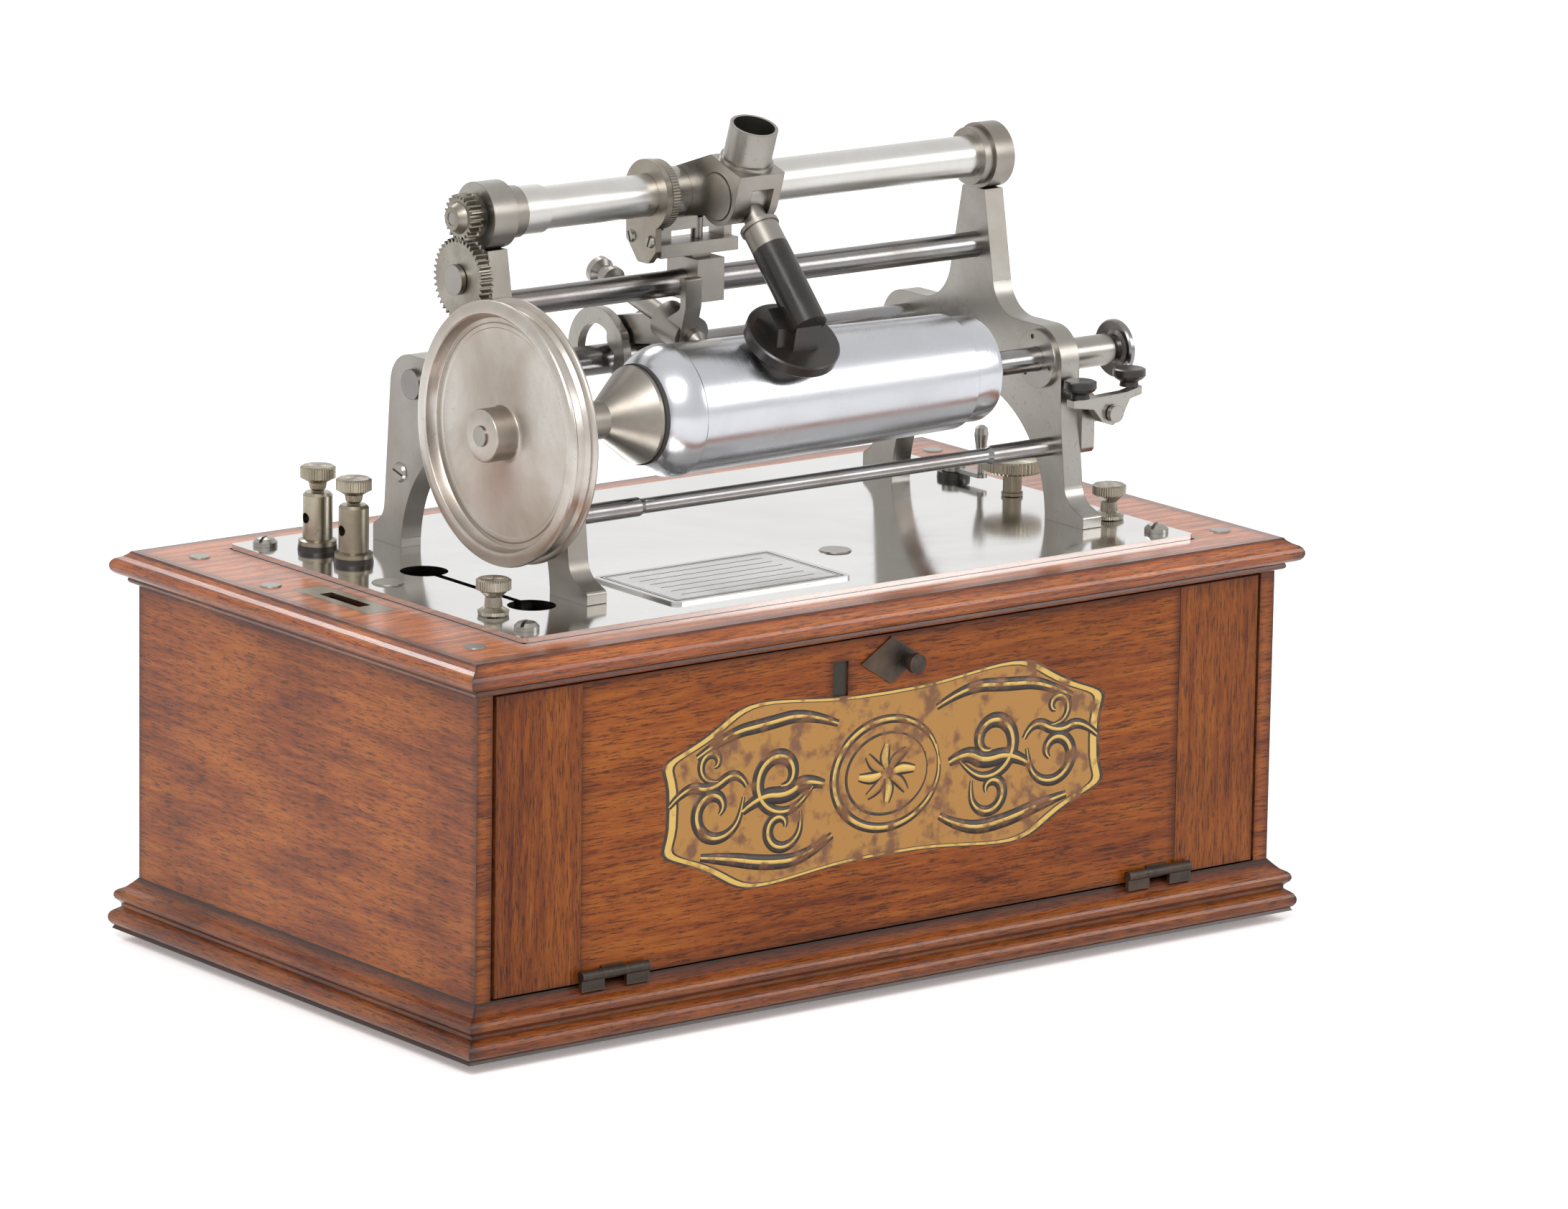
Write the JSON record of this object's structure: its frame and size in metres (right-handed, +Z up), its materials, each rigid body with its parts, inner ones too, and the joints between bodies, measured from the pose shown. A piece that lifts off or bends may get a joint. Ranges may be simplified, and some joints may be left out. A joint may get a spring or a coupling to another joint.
{
  "type": "wax cylinder dictating machine",
  "caption": "Oak case with a nickelled bedplate carrying a belt-driven tapered mandrel, gear-driven feed screw, sliding carriage, swinging recorder and shaving knife.",
  "frame": {"origin": "under the middle of the case, on the surface its feet stand on", "axes": "+X from the pulley to the tail spindle, +Y away from the operator, +Z up"},
  "size_m": [0.372, 0.2236, 0.3033],
  "materials": {
    "oak": "varnished",
    "dark_trim": "worn black",
    "brass": "tarnished",
    "nickel": "worn nickel plate",
    "steel": "polished",
    "ebonite": "polished hard rubber",
    "iron": "machined",
    "coil_wrap": "varnished tape",
    "rubber_ring": "smooth",
    "bright_aluminium": "polished",
    "mica": "clear flake"
  },
  "bodies": {
    "frame": {"case_boards": "oak", "base_moulding": "oak", "top_mouldings": "oak", "top_board": "oak", "feet": "dark_trim", "lock_plate": "brass", "case_hinge_leaves": "dark_trim", "bedplate": "nickel", "plate_screws": "nickel", "plaque": "nickel", "left_standard": "nickel", "right_standard": "nickel", "spindle_bush": "brass", "carrying_tube": "nickel", "guide_rods": "steel", "idler_studs": "nickel", "tail_bearing": "nickel", "key_bracket": "nickel", "post_bodies": "brass", "insulating_washers": "ebonite", "motor_field": "iron", "field_coils": "coil_wrap", "motor_brackets": "brass", "brush_gear": "brass"},
    "mandrel_spin": {"pulley": "nickel", "chuck_shaft": "nickel", "drive_gear": "brass", "chuck_ring": "rubber_ring", "mandrel": "bright_aluminium"},
    "idler_spin": {"idler_gear": "brass"},
    "lower_idler_spin": {"lower_idler_gear": "brass"},
    "feed_spin": {"feed_gear": "brass", "feed_screw": "steel"},
    "tail": {"tail_spindle": "steel"},
    "carriage": {"carriage_block": "nickel", "nipple": "nickel", "eye_plate": "nickel", "carriage_yoke": "nickel", "feed_nut": "brass"},
    "depth": {"depth_screw": "steel"},
    "recorder": {"recorder_barrel": "nickel", "recorder_spout": "ebonite", "recorder_head": "ebonite", "diaphragm": "mica"},
    "shaver": {"shaver_saddle": "nickel"},
    "shaver_swing": {"shaver_arm": "nickel"},
    "knife": {"knife_tube": "nickel"},
    "key": {"key_lever": "nickel", "key_buttons": "ebonite"},
    "post_screw_b": {"post_screw_back": "brass"},
    "post_screw_f": {"post_screw_front": "brass"},
    "thumb_l": {"bed_thumb_screw_left": "brass"},
    "thumb_r": {"bed_thumb_screw_right": "brass"},
    "switch": {"switch_lever": "nickel"},
    "speed": {"speed_knob": "nickel"},
    "door": {"door_boards": "oak", "door_ironwork": "dark_trim"},
    "latch": {"door_knob": "nickel"},
    "motor": {"armature": "iron", "motor_shaft": "steel"}
  },
  "joints": [
    {"name": "mandrel_spin", "type": "hinge", "parent": "frame", "child": "mandrel_spin", "pos_m": [0, -0.035, 0.204], "axis": [1, 0, 0], "continuous": true},
    {"name": "lower_idler_spin", "type": "hinge", "parent": "frame", "child": "lower_idler_spin", "pos_m": [-0.108, -0.01556, 0.22348], "axis": [1, 0, 0], "continuous": true},
    {"name": "idler_spin", "type": "hinge", "parent": "frame", "child": "idler_spin", "pos_m": [-0.108, 0.004, 0.25113], "axis": [1, 0, 0], "continuous": true},
    {"name": "feed_spin", "type": "hinge", "parent": "frame", "child": "feed_spin", "pos_m": [0, 0.004, 0.273], "axis": [1, 0, 0], "continuous": true},
    {"name": "tail_slide", "type": "slide", "parent": "frame", "child": "tail", "axis": [1, 0, 0], "range_m": [0, 0.016]},
    {"name": "carriage_slide", "type": "slide", "parent": "frame", "child": "carriage", "axis": [1, 0, 0], "range_m": [-0.034, 0.072]},
    {"name": "depth_turn", "type": "hinge", "parent": "carriage", "child": "depth", "pos_m": [-0.0058, 0.004, 0.26], "axis": [0, 0, 1], "range_deg": [-30, 30]},
    {"name": "recorder_lift", "type": "hinge", "parent": "carriage", "child": "recorder", "pos_m": [-0.0032, -0.0194, 0.2747], "axis": [-1, 0, 0], "range_deg": [0, 26]},
    {"name": "shaver_slide", "type": "slide", "parent": "frame", "child": "shaver", "axis": [1, 0, 0], "range_m": [-0.055, 0.08]},
    {"name": "shaver_tilt", "type": "hinge", "parent": "shaver", "child": "shaver_swing", "pos_m": [-0.016, 0.04, 0.217], "axis": [1, 0, 0], "range_deg": [0, 6]},
    {"name": "knife_feed", "type": "slide", "parent": "shaver_swing", "child": "knife", "axis": [0, 0.965, 0.2622], "range_m": [0, 0.004]},
    {"name": "key_rock", "type": "hinge", "parent": "frame", "child": "key", "pos_m": [0.139, -0.0544, 0.1855], "axis": [0, 1, 0], "range_deg": [-6, 6], "stiffness_Nm_per_rad": 0.02},
    {"name": "post_screw_back_turn", "type": "hinge", "parent": "frame", "child": "post_screw_b", "pos_m": [-0.1275, 0.0646, 0.17], "axis": [0, 0, 1], "range_deg": [-45, 45]},
    {"name": "post_screw_front_turn", "type": "hinge", "parent": "frame", "child": "post_screw_f", "pos_m": [-0.1288, 0.0403, 0.17], "axis": [0, 0, 1], "range_deg": [-45, 45]},
    {"name": "thumb_screw_left_turn", "type": "hinge", "parent": "frame", "child": "thumb_l", "pos_m": [-0.1357, -0.0541, 0.15], "axis": [0, 0, 1], "range_deg": [-45, 45]},
    {"name": "thumb_screw_right_turn", "type": "hinge", "parent": "frame", "child": "thumb_r", "pos_m": [0.1419, -0.052, 0.15], "axis": [0, 0, 1], "range_deg": [-45, 45]},
    {"name": "switch_turn", "type": "hinge", "parent": "frame", "child": "switch", "pos_m": [0.1395, 0.0357, 0.15], "axis": [0, 0, 1], "range_deg": [-50, 10]},
    {"name": "speed_turn", "type": "hinge", "parent": "frame", "child": "speed", "pos_m": [0.1372, -0.0018, 0.15], "axis": [0, 0, 1], "range_deg": [-150, 150]},
    {"name": "door_open", "type": "hinge", "parent": "frame", "child": "door", "pos_m": [0, -0.1056, 0.0266], "axis": [1, 0, 0], "range_deg": [0, 80]},
    {"name": "latch_turn", "type": "hinge", "parent": "door", "child": "latch", "pos_m": [0.0081, -0.098, 0.1197], "axis": [0, 1, 0], "range_deg": [-90, 0]},
    {"name": "motor_spin", "type": "hinge", "parent": "frame", "child": "motor", "pos_m": [0, 0.005, 0.075], "axis": [1, 0, 0], "continuous": true}
  ],
  "couplings": [
    {"joint": "lower_idler_spin", "follows": "mandrel_spin", "ratio": -0.39286},
    {"joint": "idler_spin", "follows": "mandrel_spin", "ratio": 0.55},
    {"joint": "feed_spin", "follows": "mandrel_spin", "ratio": -1}
  ]
}
